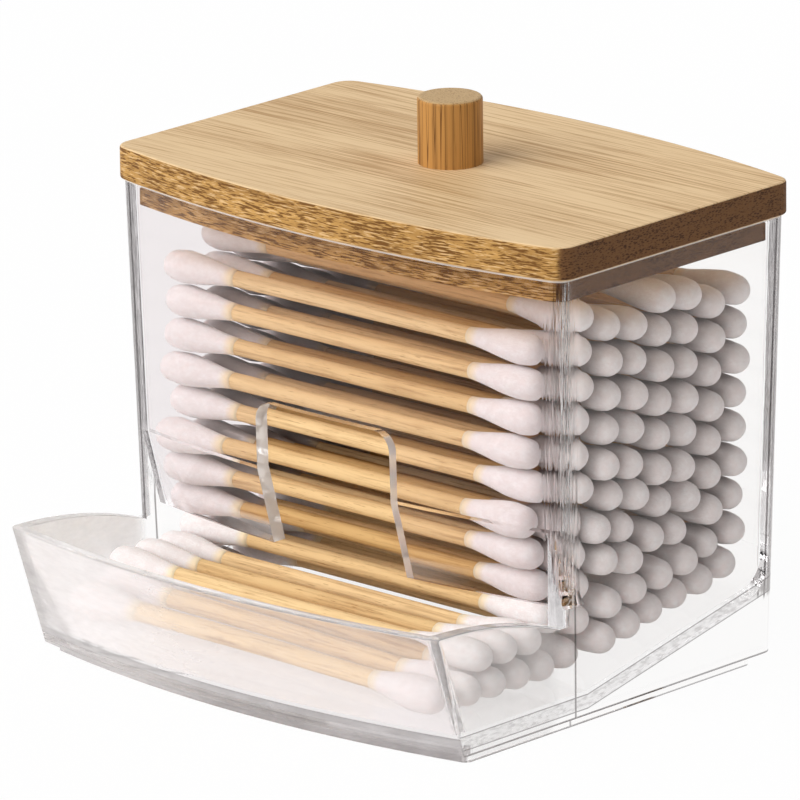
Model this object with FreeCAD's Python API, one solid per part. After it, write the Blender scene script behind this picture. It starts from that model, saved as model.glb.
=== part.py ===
import FreeCAD, Part
import math
import os

# Cotton swab storage box: a clear moulded box with a finger tray in front,
# a bamboo lid with a turned knob, and the cotton swabs that it holds.
# Millimetres. +X runs along the swabs, -Y is the tray side, +Z is up.
# The model is built about the middle of the box and set on its origin at the end.

# ---- cotton swabs ----
swab_length = 74.0
stick_diameter = 2.5
head_diameter = 5.1
head_length = 14.5
head_neck_length = 5.5      # taper from the stick up to the full head
stick_in_head = 9.0
swab_end_room = 4.35        # from a swab's end to the side wall, at the rim
swab_top_room = 0.6         # from the stack up to the lid's plug
swab_column_room = 0.3      # widest gap between columns of heads, front to back
swab_column_nesting = 0.95  # staggered columns stand this share of their pitch apart
swab_gap = 0.08             # between neighbouring heads
swab_shift = 0.8            # how far the lowest swabs have slid to the left
swab_stray = 0.4            # how far a swab may lie to either side of that
swab_stray_turn = 2.4       # radians from one swab to the next, to scatter the strays
swab_front_slide = 3.2      # how much further the swabs by the front wall have slid
swab_back_slide = 1.2       # how far to the right the swabs by the back wall have slid
swab_side_gap = 0.35        # least gap from a swab's end to the side wall
tray_swabs_angle = 24.0     # slope of the swabs that lie in the tray
tray_swab_layers = 3
settle_rounds = 400
settle_step = 0.03          # how far a swab sinks in the first round

# ---- box walls ----
box_depth = 48.5            # corner to corner, front to back, at the rim
rim_height = 68.0
wall = 2.4
face_bow = 5.0              # how far the front and back faces bulge past their corners
corner_radius = 2.5
inner_corner_radius = 1.2
rim_edge_radius = 0.5
lip_edge_radius = 0.3       # top edge of the tray
draft_angle = 1.4           # the walls close in towards the table, degrees
skirt_height = 1.5          # lower edge of the outer walls above the table

# ---- front wall: slanted foot, throat below it and finger notch ----
throat_height = 18.0        # lower edge of the front wall
slant_height = 30.0         # where the wall starts to slant back
slant_back = 3.0
notch_width = 26.6
notch_top = 40.5
notch_radius = 3.0

# ---- ramp and floor ----
floor_height = 4.75         # top of the tray floor
floor_thickness = 2.3
ramp_angle = 12.1
ramp_rise = 8.2             # height gained between the floor and the back wall
bend_radius = 5.0           # inside bend from the ramp up into the back wall

# ---- tray ----
tray_lip_height = 20.5
tray_lip_reach = 25.2       # lip corner, forward of the box corner
tray_foot_reach = 19.2      # lower corner, forward of the box corner
tray_lip_wall = 1.6
tray_floor_wall = 3.0
tray_corner_radius = 0.6
tray_inner_corner_radius = 0.6
tray_side_height = 15.9     # side edge where it meets the box

# ---- foot rails under the skirt ----
foot_side_inset = 1.1
foot_front_inset = 1.9
foot_width = 1.3
foot_rear_gap = 4.0

# ---- lid ----
lid_thickness = 5.0
lid_overhang = 0.7
plug_depth = 3.8
plug_clearance = 0.35
lid_edge_radius = 0.4
knob_diameter = 9.6
knob_height = 10.0
knob_edge_radius = 0.5
spigot_diameter = 5.0
spigot_length = 3.5
spigot_end_gap = 0.5

# ---- worked out from the above ----
far = 200.0                 # past every face, for cutting tools
box_width = swab_length + 2 * (swab_end_room + wall)    # across the flat sides, at the rim
swab_top = rim_height - plug_depth - swab_top_room
draft = math.tan(math.radians(draft_angle))
ramp_slope = math.tan(math.radians(ramp_angle))
face_radius = (box_width / 2) ** 2 / (2 * face_bow) + face_bow / 2
lid_top = rim_height + lid_thickness
tray_extreme = -(box_depth / 2 + tray_lip_reach + face_bow)


def between(z, low_z, low, high_z, high):
    """Straight-line value at height z."""
    return low + (high - low) * (z - low_z) / (high_z - low_z)


def closing_in(z):
    """How far the draft has brought a wall in at height z."""
    return draft * (rim_height - z)


def half_width(z):
    return box_width / 2 - closing_in(z)


def box_front(z):
    """Foremost point of the box's front face if it had no slant."""
    return -(box_depth / 2 + face_bow) + closing_in(z)


def box_back(z):
    return box_depth / 2 + face_bow - closing_in(z)


def slanted_front(z):
    """Foremost point of the front wall, with its slanted foot."""
    drop = (slant_height - z) / (slant_height - throat_height)
    return box_front(z) + slant_back * min(max(drop, 0.0), 1.0)


def tray_front(z):
    """Foremost point of the tray's outer face."""
    low = -(box_depth / 2 + tray_foot_reach + face_bow)
    return between(z, skirt_height, low, tray_lip_height, tray_extreme)


def tray_wall(z):
    return between(z, floor_height, tray_floor_wall, tray_lip_height, tray_lip_wall)


def bow_at(x, inset):
    """How far a bowed face has curved away from its apex at x."""
    radius = face_radius - inset
    return radius - math.sqrt(radius ** 2 - x ** 2)


def bowed(apex, inset, x, towards):
    """Y of a bowed face at x. towards is -1 for a front face and +1 for a back face."""
    return apex - towards * (inset + bow_at(x, inset))


def outline(z, half, front, back, front_inset, back_inset, radius):
    """Closed wire at height z: flat sides, bowed front and back, rounded corners.

    front and back are the apexes of the outer faces. An inset face is concentric with them.
    """
    points = []
    for towards, apex, inset in ((-1, front, front_inset), (1, back, back_inset)):
        big = face_radius - inset
        centre_y = apex - towards * face_radius
        corner_x = half - radius
        corner_y = centre_y + towards * math.sqrt((big - radius) ** 2 - corner_x ** 2)
        scale = big / (big - radius)
        on_face = (corner_x * scale, centre_y + (corner_y - centre_y) * scale)
        reach = math.hypot(on_face[0] + half - 2 * corner_x, on_face[1] - corner_y)
        middle = (corner_x + radius * (on_face[0] + half - 2 * corner_x) / reach,
                  corner_y + radius * (on_face[1] - corner_y) / reach)
        points.append({"side": (half, corner_y), "mid": middle, "face": on_face,
                       "apex": (0.0, centre_y + towards * big)})
    front_set, back_set = points

    def at(point, mirror=1):
        return FreeCAD.Vector(mirror * point[0], point[1], z)

    def arc(first, second, third):
        return Part.Arc(first, second, third).toShape()

    edges = [
        Part.makeLine(at(front_set["side"]), at(back_set["side"])),
        arc(at(back_set["side"]), at(back_set["mid"]), at(back_set["face"])),
        arc(at(back_set["face"]), at(back_set["apex"]), at(back_set["face"], -1)),
        arc(at(back_set["face"], -1), at(back_set["mid"], -1), at(back_set["side"], -1)),
        Part.makeLine(at(back_set["side"], -1), at(front_set["side"], -1)),
        arc(at(front_set["side"], -1), at(front_set["mid"], -1), at(front_set["face"], -1)),
        arc(at(front_set["face"], -1), at(front_set["apex"]), at(front_set["face"])),
        arc(at(front_set["face"]), at(front_set["mid"]), at(front_set["side"])),
    ]
    return Part.Wire(edges)


def lofted(wires):
    return Part.makeLoft(wires, True, True)


# ---- the ramp's section, seen from the side ----
def box_back_inner(z):
    return box_back(z) - wall


def ramp_geometry(offset):
    """Floor, ramp, bend and back wall, moved down and out by offset from the inside faces."""
    angle = math.radians(ramp_angle)
    back_tilt = math.atan(draft)
    top = floor_height - offset
    # corner of ramp and back wall on the inside faces
    corner_z = floor_height + ramp_rise
    corner_y = box_back_inner(corner_z)
    foot_y = corner_y - ramp_rise / ramp_slope
    foot = (foot_y + offset * math.tan(angle / 2), top)
    # centre of the bend, which both walls touch
    radius = bend_radius
    turn = math.pi / 2 - angle - back_tilt
    reach = radius * math.tan(turn / 2)
    touch_ramp = (corner_y - reach * math.cos(angle), corner_z - reach * math.sin(angle))
    centre = (touch_ramp[0] - radius * math.sin(angle), touch_ramp[1] + radius * math.cos(angle))
    grown = radius + offset
    start = -math.pi / 2 + angle
    end = -back_tilt
    bend = [(centre[0] + grown * math.cos(a), centre[1] + grown * math.sin(a))
            for a in (start, (start + end) / 2, end)]
    return {"foot": foot, "bend": bend}


def section_face(offset, lower_corners):
    """Face in the plane x=0 whose upper edge is the ramp's section, moved down by offset."""
    shape = ramp_geometry(offset)
    foot = shape["foot"]
    bend = shape["bend"]
    floor_front = (tray_extreme - wall, foot[1])

    def at(point):
        return FreeCAD.Vector(0, point[0], point[1])

    edges = [
        Part.makeLine(at(floor_front), at(foot)),
        Part.makeLine(at(foot), at(bend[0])),
        Part.Arc(at(bend[0]), at(bend[1]), at(bend[2])).toShape(),
    ]
    chain = [bend[2], (far / 2, bend[2][1])] + lower_corners + [floor_front]
    for first, second in zip(chain, chain[1:]):
        edges.append(Part.makeLine(at(first), at(second)))
    return Part.Face(Part.Wire(edges))


def straight_across(face):
    """The face in x=0 run straight to both sides."""
    moved = face.translated(FreeCAD.Vector(-far / 2, 0, 0))
    return moved.extrude(FreeCAD.Vector(far, 0, 0))


def bowed_across(face, inset):
    """The face in x=0 run to both sides along the back face's bow, without turning."""
    reach = box_width / 2 + 4 * wall

    def at(x):
        return FreeCAD.Vector(x, -bow_at(x, inset), 0)

    path = Part.Wire([Part.Arc(at(-reach), at(0), at(reach)).toShape()])
    sweep = Part.BRepOffsetAPI.MakePipeShell(path)
    sweep.setTrihedronMode(FreeCAD.Vector(0, 0, 0), FreeCAD.Vector(0, 0, 1))
    sweep.add(face.OuterWire.translated(at(-reach)))
    sweep.build()
    sweep.makeSolid()
    return sweep.shape()


def outer_box():
    heights = (skirt_height, rim_height)
    return lofted([outline(z, half_width(z), box_front(z), box_back(z), 0, 0, corner_radius)
                   for z in heights])


def outer_tray():
    """The tray's outer form, with its side edges curving down from the lip to the box."""
    heights = (skirt_height, tray_lip_height)
    form = lofted([outline(z, half_width(z), tray_front(z), box_back(z) - box_depth / 2,
                           0, 0, tray_corner_radius) for z in heights])
    lip_y = bowed(tray_front(tray_lip_height), 0, half_width(tray_lip_height), -1)
    meet_y = bowed(box_front(tray_side_height), 0, half_width(tray_side_height), -1)
    above = tray_lip_height + wall
    run = meet_y - lip_y
    drop = tray_lip_height - tray_side_height
    radius = (run ** 2 + drop ** 2) / (2 * drop)
    half_turn = math.asin(run / radius) / 2
    start = FreeCAD.Vector(0, lip_y, tray_lip_height)
    middle = FreeCAD.Vector(0, lip_y + radius * math.sin(half_turn),
                            tray_lip_height - radius * (1 - math.cos(half_turn)))
    end = FreeCAD.Vector(0, meet_y, tray_side_height)
    behind = FreeCAD.Vector(0, far / 2, tray_side_height)
    behind_top = FreeCAD.Vector(0, far / 2, above)
    start_top = FreeCAD.Vector(0, lip_y, above)
    edges = [
        Part.Arc(start, middle, end).toShape(),
        Part.makeLine(end, behind),
        Part.makeLine(behind, behind_top),
        Part.makeLine(behind_top, start_top),
        Part.makeLine(start_top, start),
    ]
    return form.cut(straight_across(Part.Face(Part.Wire(edges))))


def foot_rails():
    """Rail on which the box stands, inset below the skirt at the front and sides."""
    top = floor_height - floor_thickness / 2
    front = tray_front(skirt_height)
    back = box_back(skirt_height)
    half = half_width(skirt_height)

    def form(side_inset, front_inset):
        return lofted([outline(z, half - side_inset, front, back, front_inset, foot_rear_gap,
                               inner_corner_radius) for z in (0.0, top)])

    rail = form(foot_side_inset, foot_front_inset)
    hollow = form(foot_side_inset + foot_width, foot_front_inset + foot_width)
    rear = bowed(back, 0, half, 1) - foot_rear_gap
    rail = rail.cut(hollow)
    behind = Part.makeBox(far, far, far, FreeCAD.Vector(-far / 2, rear, -far / 2))
    return rail.cut(behind)


def room():
    """Everything inside the walls that is empty: the box, the throat and the tray."""
    low = skirt_height
    heights = (low, throat_height, slant_height, rim_height + wall)
    box_room = lofted([outline(z, half_width(z) - wall, slanted_front(z), box_back(z),
                               wall, wall, inner_corner_radius) for z in heights])
    heights = (throat_height, slant_height)
    front_wall_side = lofted([outline(z, half_width(z) + wall, slanted_front(z), box_back(z),
                                      0, -wall, corner_radius) for z in heights])
    heights = (low, slant_height)
    tray_room = lofted([outline(z, half_width(z) - wall, tray_front(z) + tray_wall(z),
                                box_back(z) - box_depth / 2, 0, wall,
                                tray_inner_corner_radius)
                        for z in heights])
    tray_room = tray_room.cut(front_wall_side)
    floor = bowed_across(section_face(0, [(far / 2, -far / 2), (tray_extreme - wall, -far / 2)]),
                         wall)
    return box_room.fuse(tray_room).cut(floor)


def underside():
    """The hollow below the floor and ramp, open at the table and at the rear."""
    below = bowed_across(section_face(floor_thickness, [(far / 2, -wall),
                                                        (tray_extreme - wall, -wall)]), 0)
    heights = (-wall, rim_height)
    between_sides = lofted([
        outline(z, half_width(z) - wall, tray_front(skirt_height) + tray_floor_wall, far / 2,
                0, 0, inner_corner_radius) for z in heights])
    return below.common(between_sides)


def notch():
    half = notch_width / 2
    front = box_front(throat_height) - wall
    depth = slant_back + face_bow + 2 * wall
    low = throat_height - wall
    cut = Part.makeBox(notch_width, depth, notch_top - low, FreeCAD.Vector(-half, front, low))
    top_edges = [edge for edge in cut.Edges
                 if abs(edge.CenterOfMass.z - notch_top) < 1e-6
                 and abs(abs(edge.CenterOfMass.x) - half) < 1e-6]
    return cut.makeFillet(notch_radius, top_edges)


def softened(body):
    """Round the rim and the top edge of the tray."""
    near = 1e-4

    def on_tray_top(edge):
        box = edge.BoundBox
        in_range = box.ZMin > tray_side_height - near and box.ZMax < tray_lip_height + near
        if not in_range or box.YMax > 0:
            return False
        if box.ZLength > near:
            return box.YLength > wall
        return box.ZMin > tray_lip_height - near and box.XLength > wall and box.YLength > near

    rim = [edge for edge in body.Edges if edge.BoundBox.ZMin > rim_height - near]
    body = body.makeFillet(rim_edge_radius, rim)
    tray_top = [edge for edge in body.Edges if on_tray_top(edge)]
    return body.makeFillet(lip_edge_radius, tray_top)


def box_shell():
    body = outer_box().fuse(outer_tray()).fuse(foot_rails())
    body = body.cut(room()).cut(underside()).cut(notch())
    return softened(body)


def lid_board():
    """Bamboo board with the plug that drops into the mouth, and a blind socket for the knob."""
    def slab(low, high, half, inset, radius):
        return lofted([outline(z, half, box_front(rim_height), box_back(rim_height),
                               inset, inset, radius) for z in (low, high)])

    board = slab(rim_height, lid_top, box_width / 2 + lid_overhang, -lid_overhang,
                 corner_radius + lid_overhang)
    rims = [edge for edge in board.Edges
            if edge.BoundBox.ZLength < 1e-6]
    board = board.makeFillet(lid_edge_radius, rims)
    plug_inset = wall + plug_clearance + closing_in(rim_height - plug_depth)
    plug = slab(rim_height - plug_depth, rim_height + lid_thickness / 2,
                box_width / 2 - plug_inset, plug_inset, inner_corner_radius)
    socket_depth = spigot_length + spigot_end_gap
    socket = Part.makeCylinder(spigot_diameter / 2, socket_depth + wall,
                               FreeCAD.Vector(0, 0, lid_top - socket_depth))
    return board.fuse(plug).cut(socket)


def lid_knob():
    knob = Part.makeCylinder(knob_diameter / 2, knob_height, FreeCAD.Vector(0, 0, lid_top))
    top_edges = [edge for edge in knob.Edges if edge.BoundBox.ZMin > lid_top + knob_height - 1e-6]
    knob = knob.makeFillet(knob_edge_radius, top_edges)
    spigot = Part.makeCylinder(spigot_diameter / 2, spigot_length,
                               FreeCAD.Vector(0, 0, lid_top - spigot_length))
    return knob.fuse(spigot)


# ---- where the swabs lie, as points in Y and Z ----
def swab_walls():
    """Line segments, in Y and Z, that the swabs lie against.

    Inside faces bow away from the swabs and meet them at their ends. The front wall's outer
    face bows towards them and comes nearest where the heads begin.
    """
    end_x = swab_length / 2
    neck_x = end_x - head_length
    slid_x = end_x - head_diameter / 2 + swab_end_room - swab_side_gap
    shape = ramp_geometry(0)
    foot = shape["foot"]
    bend = shape["bend"]

    def front_inner(z):
        return bowed(slanted_front(z), wall, slid_x, -1)

    def front_outer(z):
        return bowed(slanted_front(z), 0, neck_x, -1)

    def back_inner(z):
        return bowed(box_back(z), wall, end_x, 1)

    def tray_inner(z):
        return bowed(tray_front(z) + tray_wall(z), 0, end_x, -1)

    ramp = [(y - bow_at(end_x, wall), z) for y, z in [foot] + bend]
    corners = [
        (tray_inner(tray_lip_height), tray_lip_height),
        (tray_inner(floor_height), floor_height),
    ] + ramp + [
        (back_inner(rim_height), rim_height),
    ]
    blade = [
        (front_inner(rim_height), rim_height),
        (front_inner(slant_height), slant_height),
        (front_inner(throat_height), throat_height),
        (front_outer(throat_height), throat_height),
        (front_outer(slant_height), slant_height),
    ]
    return list(zip(corners, corners[1:])) + list(zip(blade, blade[1:]))


def nearest_on(segment, y, z):
    (y1, z1), (y2, z2) = segment
    run = (y2 - y1) ** 2 + (z2 - z1) ** 2
    along = ((y - y1) * (y2 - y1) + (z - z1) * (z2 - z1)) / run
    along = min(max(along, 0.0), 1.0)
    return y1 + along * (y2 - y1), z1 + along * (z2 - z1)


def swab_starts():
    """Rows of loosely stacked swabs, before they settle. Each is [row, y, z]."""
    end_x = swab_length / 2
    radius = head_diameter / 2
    pitch = head_diameter + swab_gap
    ramp_foot = ramp_geometry(0)["foot"][0] - bow_at(end_x, wall)

    def back_column(z):
        return bowed(box_back(z), wall, end_x, 1) - radius

    def front_column(z):
        return bowed(slanted_front(z), wall, end_x, -1) + radius

    depth = back_column(throat_height) - front_column(throat_height)
    columns = int(depth / (pitch * swab_column_nesting)) + 1

    def column_y(column, z):
        spacing = (back_column(z) - front_column(z)) / (columns - 1)
        return back_column(z) - column * min(spacing, head_diameter + swab_column_room)

    starts = []
    for column in range(columns):
        y = column_y(column, throat_height)
        low = floor_height + max(y - ramp_foot, 0.0) * ramp_slope + radius + swab_gap
        stagger = pitch / 2 if column % 2 else 0.0
        rows = int((swab_top - radius - low - stagger) / pitch) + 1
        for row in range(rows):
            z = low + stagger * min(row, 2) / 2 + row * pitch
            starts.append([row, column_y(column, z), z])
    first_y = column_y(columns - 1, throat_height)
    tray_end = bowed(tray_front(floor_height) + tray_wall(floor_height), 0, end_x, -1) + radius
    tray_slope = math.tan(math.radians(tray_swabs_angle))
    steps = int((first_y - tray_end) / pitch)
    nesting = math.sin(math.radians(60))
    for row in range(tray_swab_layers):
        for step in range(1, steps + 1):
            y = first_y - (step - 0.5 * (row % 2)) * pitch
            z = floor_height + radius + row * pitch * nesting
            if z <= floor_height + radius + (y - tray_end) * tray_slope + swab_gap:
                before_wall = bowed(slanted_front(z), 0, end_x - head_length, -1) - radius
                if z + radius > throat_height:
                    y = min(y, before_wall)
                starts.append([row, y, z])
    return starts


def settled(starts):
    """Let the swabs sink and push each other apart until no two heads overlap."""
    walls = swab_walls()
    radius = head_diameter / 2 + swab_gap / 2
    places = [list(start) for start in starts]
    for turn in range(settle_rounds):
        sinking = settle_step * max(0.0, 1 - 2 * turn / settle_rounds)
        worst = 0.0
        for place in places:
            place[2] -= sinking
        for index, first in enumerate(places):
            for second in places[index + 1:]:
                gap_y = second[1] - first[1]
                gap_z = second[2] - first[2]
                if abs(gap_y) >= 2 * radius or abs(gap_z) >= 2 * radius:
                    continue
                apart = math.hypot(gap_y, gap_z)
                overlap = 2 * radius - apart
                if overlap > 0:
                    worst = max(worst, overlap)
                    first[1] -= gap_y / apart * overlap / 2
                    first[2] -= gap_z / apart * overlap / 2
                    second[1] += gap_y / apart * overlap / 2
                    second[2] += gap_z / apart * overlap / 2
        for place in places:
            for segment in walls:
                near_y, near_z = nearest_on(segment, place[1], place[2])
                apart = math.hypot(place[1] - near_y, place[2] - near_z)
                if apart < radius:
                    push = (radius - apart) / apart
                    place[1] += (place[1] - near_y) * push
                    place[2] += (place[2] - near_z) * push
        if sinking == 0.0 and worst < swab_gap / 8:
            break
    return places


def swab_head(end):
    """Cotton head on the end of a stick along X, wound round the stick's last stretch."""
    radius = head_diameter / 2
    core = stick_diameter / 2
    tip = swab_length / 2
    neck = tip - head_length
    full = neck + head_neck_length
    dome = tip - radius
    bore_end = neck + stick_in_head

    def at(x, r):
        return FreeCAD.Vector(end * x, 0, r)

    def rounded(x):
        return dome + radius * math.sin(math.radians(x)), radius * math.cos(math.radians(x))

    edges = [
        Part.makeLine(at(bore_end, 0), at(bore_end, core)),
        Part.makeLine(at(bore_end, core), at(neck, core)),
        Part.makeLine(at(neck, core), at(full, radius)),
        Part.makeLine(at(full, radius), at(dome, radius)),
        Part.Arc(at(dome, radius), at(*rounded(45)), at(tip, 0)).toShape(),
        Part.makeLine(at(tip, 0), at(bore_end, 0)),
    ]
    face = Part.Face(Part.Wire(edges))
    return face.revolve(FreeCAD.Vector(0, 0, 0), FreeCAD.Vector(1, 0, 0), 360)


def swab_stick():
    length = swab_length - 2 * (head_length - stick_in_head)
    return Part.makeCylinder(stick_diameter / 2, length, FreeCAD.Vector(-length / 2, 0, 0),
                             FreeCAD.Vector(1, 0, 0))


def swab_slide(index, y, z):
    """Where along X a settled swab lies.

    Low swabs, and those in front, have slid to the left, and those by the back wall to the right.
    """
    front_y = bowed(slanted_front(z), wall, swab_length / 2, -1) + head_diameter / 2
    behind = max(y - front_y, 0.0)
    stray = swab_stray * math.sin(swab_stray_turn * index)
    low_slide = swab_shift * (1 - z / swab_top)
    front_slide = swab_front_slide * max(1 - behind / (2 * head_diameter), 0.0)
    back_slide = swab_back_slide * min(behind / (box_depth - 2 * head_diameter), 1.0)
    furthest = half_width(z) - wall - swab_side_gap - swab_length / 2
    slide = low_slide + front_slide - back_slide - stray
    return -max(min(slide, furthest), -furthest)


def swab_rows():
    """Nodes for the swabs: one for the sticks and two for the heads of each row."""
    stick = swab_stick()
    left = swab_head(-1)
    right = swab_head(1)
    rows = {}
    for index, (row, y, z) in enumerate(settled(swab_starts())):
        place = FreeCAD.Vector(swab_slide(index, y, z), y, z)
        group = rows.setdefault(row + 1, {"sticks": [], "heads_left": [], "heads_right": []})
        group["sticks"].append(stick.translated(place))
        group["heads_left"].append(left.translated(place))
        group["heads_right"].append(right.translated(place))
    nodes = {}
    for row, group in sorted(rows.items()):
        for kind, shapes in group.items():
            nodes["swab_%s_row_%02d" % (kind, row)] = Part.makeCompound(shapes)
    return nodes


def main():
    nodes = {"box_shell": box_shell(), "lid_board": lid_board(), "lid_knob": lid_knob()}
    nodes.update(swab_rows())
    front = nodes["box_shell"].optimalBoundingBox().YMin
    back = nodes["lid_board"].optimalBoundingBox().YMax
    to_origin = FreeCAD.Vector(0, -(front + back) / 2, 0)
    os.makedirs("parts", exist_ok=True)
    for name, shape in nodes.items():
        placed = shape.translated(to_origin)
        placed.exportStep("parts/%s.step" % name)
        print(name, "solids", len(placed.Solids), "valid", placed.isValid(),
              "volume", round(placed.Volume, 1))


main()
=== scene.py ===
import math
import random
from collections import namedtuple

import bmesh
import bpy
from bpy.props import FloatProperty, FloatVectorProperty, IntProperty, PointerProperty
from mathutils import Matrix, Vector, noise


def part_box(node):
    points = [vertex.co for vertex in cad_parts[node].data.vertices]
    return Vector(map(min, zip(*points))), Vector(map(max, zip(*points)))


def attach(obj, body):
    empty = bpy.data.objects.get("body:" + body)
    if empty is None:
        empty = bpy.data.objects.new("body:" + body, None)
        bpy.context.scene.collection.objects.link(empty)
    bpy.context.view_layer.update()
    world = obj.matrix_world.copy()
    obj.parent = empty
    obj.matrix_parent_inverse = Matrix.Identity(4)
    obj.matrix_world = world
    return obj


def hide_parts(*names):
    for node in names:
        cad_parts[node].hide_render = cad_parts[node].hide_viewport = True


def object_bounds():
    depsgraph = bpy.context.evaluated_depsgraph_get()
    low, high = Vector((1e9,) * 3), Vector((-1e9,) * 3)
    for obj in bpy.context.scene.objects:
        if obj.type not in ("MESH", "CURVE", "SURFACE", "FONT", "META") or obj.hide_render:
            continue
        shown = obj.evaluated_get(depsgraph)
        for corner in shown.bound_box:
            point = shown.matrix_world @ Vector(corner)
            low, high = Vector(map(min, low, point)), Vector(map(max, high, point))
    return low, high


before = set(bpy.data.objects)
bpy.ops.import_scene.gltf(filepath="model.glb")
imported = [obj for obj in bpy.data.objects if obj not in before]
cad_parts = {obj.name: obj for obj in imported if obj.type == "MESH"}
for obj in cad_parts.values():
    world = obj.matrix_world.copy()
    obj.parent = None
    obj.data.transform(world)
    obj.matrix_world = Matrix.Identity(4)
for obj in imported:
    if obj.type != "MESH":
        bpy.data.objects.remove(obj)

# The looks of a cotton swab storage box: a clear moulded box with a finger tray,
# a bamboo lid with a turned knob, and the cotton swabs that it holds.
# +X runs along the swabs, -Y is the tray side, +Z is up.

bl_info = {
    "name": "Cotton Swab Box",
    "version": (1, 0, 0),
    "blender": (4, 5, 0),
    "location": "3D View > Sidebar > Swab Box",
    "description": "Finishes a clear swab box, its bamboo lid and its cotton swabs, and lights them",
    "category": "Object",
}

CAD_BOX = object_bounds()
MILLIMETRE = 0.001
SWAB_ROWS = [name[-2:] for name in sorted(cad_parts) if name.startswith("swab_sticks_row_")]


def tone(red, green, blue):
    """A colour given as on a paint chart, 0 to 255, as the linear values that shaders use."""
    def linear(level):
        share = level / 255
        return share / 12.92 if share <= 0.04045 else ((share + 0.055) / 1.055) ** 2.4
    return (linear(red), linear(green), linear(blue))


def colour_property(name, description, default):
    return FloatVectorProperty(
        name=name, description=description, default=default, subtype="COLOR", size=3, min=0, max=1
    )


def length_property(name, description, millimetres):
    return FloatProperty(
        name=name, description=description, default=millimetres * MILLIMETRE,
        min=0, unit="LENGTH", precision=5,
    )


def share_property(name, description, default):
    return FloatProperty(
        name=name, description=description, default=default, min=0, max=1, subtype="FACTOR"
    )


def opaque(colour):
    """A plain colour as a colour socket takes it. A colour that comes from a node stays as it is."""
    return colour if isinstance(colour, Value) else (*colour, 1.0)


# ---- shader maths ----

class Value:
    """A number or colour that changes over a surface. Operators on numbers add the Math nodes."""

    def __init__(self, work, socket):
        self.work = work
        self.socket = socket

    def also(self, name):
        """Another output of the same node."""
        return Value(self.work, self.work.find(self.socket.node.outputs, name))

    def __add__(self, other):
        return self.work.maths("ADD", self, other)

    __radd__ = __add__

    def __sub__(self, other):
        return self.work.maths("SUBTRACT", self, other)

    def __rsub__(self, other):
        return self.work.maths("SUBTRACT", other, self)

    def __mul__(self, other):
        return self.work.maths("MULTIPLY", self, other)

    __rmul__ = __mul__

    def __truediv__(self, other):
        return self.work.maths("DIVIDE", self, other)

    def __abs__(self):
        return self.work.maths("ABSOLUTE", self)


class NodeWork:
    """A node tree that a finish or the surroundings are built in."""

    def __init__(self, owner):
        owner.use_nodes = True
        self.owner = owner
        self.tree = owner.node_tree
        self.tree.nodes.clear()

    @staticmethod
    def find(sockets, name):
        shown = [socket for socket in sockets if socket.enabled]
        if isinstance(name, int):
            return shown[name]
        return next(socket for socket in shown if socket.name == name)

    def node(self, kind, settings=None, values=None, result=0):
        """Adds a node: its settings first, then the values or links of its sockets."""
        made = self.tree.nodes.new("ShaderNode" + kind)
        for name, setting in (settings or {}).items():
            if name == "stops":
                self.set_stops(made.color_ramp.elements, setting)
            else:
                setattr(made, name, setting)
        for name, value in (values or {}).items():
            socket = self.find(made.inputs, name)
            if isinstance(value, Value):
                self.tree.links.new(value.socket, socket)
            else:
                socket.default_value = value
        return Value(self, self.find(made.outputs, result)) if made.outputs else made

    @staticmethod
    def set_stops(elements, stops):
        while len(elements) < len(stops):
            elements.new(1)
        for element, (place, shade) in zip(elements, stops):
            element.position = place
            element.color = (*shade, 1)

    def maths(self, operation, *terms):
        return self.node("Math", {"operation": operation}, dict(enumerate(terms)))

    def larger(self, *terms):
        """The largest of two or more."""
        largest = terms[0]
        for term in terms[1:]:
            largest = self.maths("MAXIMUM", largest, term)
        return largest

    def spread(self, value, low, high, start=0.0, end=1.0):
        """Eases from start to end while value goes from low to high."""
        return self.node("MapRange", {"interpolation_type": "SMOOTHSTEP"}, {
            "Value": value, "From Min": low, "From Max": high, "To Min": start, "To Max": end,
        })

    def line(self, distance, core, fade):
        """1 within core of a line and gone at fade, where distance is how far off the line a point is."""
        return self.spread(abs(distance), fade, core)

    def place(self):
        """Where a point of the piece is, in millimetres."""
        coordinates = self.node("TexCoord", result="Object")
        return self.node("VectorMath", {"operation": "SCALE"}, {0: coordinates, "Scale": 1 / MILLIMETRE})

    def facing(self):
        """Which way the piece's surface faces: how far along X, Y and Z."""
        normal = self.node("TexCoord", result="Normal")
        return self.node("SeparateXYZ", values={0: normal})

    def stretched(self, place, sizes, shift=(0.0, 0.0, 0.0)):
        """Place measured in grains of these sizes, in millimetres along each axis."""
        return self.node("VectorMath", {"operation": "MULTIPLY_ADD"}, {
            0: place, 1: tuple(1 / size for size in sizes), 2: shift,
        })

    def clouds(self, place, detail=3.0, roughness=0.55, distortion=0.0):
        return self.node("TexNoise", values={
            "Vector": place, "Scale": 1.0, "Detail": detail,
            "Roughness": roughness, "Distortion": distortion,
        })

    def grains(self, place):
        return self.node("TexVoronoi", values={"Vector": place, "Scale": 1.0}, result="Distance")

    def blended(self, share, first, second):
        """The first colour, going over to the second where share is 1."""
        return self.node("Mix", {"data_type": "RGBA"}, {
            "Factor": share, "A": opaque(first), "B": opaque(second),
        })

    def relief(self, height, depth, strength=1.0, under=None):
        """A surface normal for a relief that is depth millimetres from low to high."""
        values = {"Height": height, "Distance": depth * MILLIMETRE, "Strength": strength}
        if under is not None:
            values["Normal"] = under
        return self.node("Bump", values=values)

    def shader(self, values):
        return self.node("BsdfPrincipled", values=values)

    def seen_ray(self):
        """1 for rays that look: from the camera, or by way of gloss or clear plastic."""
        path = self.node("LightPath", result="Is Camera Ray")
        return self.larger(path, path.also("Is Glossy Ray"), path.also("Is Transmission Ray"))

    def finished(self, surface, volume=None, kind="OutputMaterial"):
        values = {"Surface": surface}
        if volume is not None:
            values["Volume"] = volume
        self.node(kind, values=values)
        return self.owner


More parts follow.
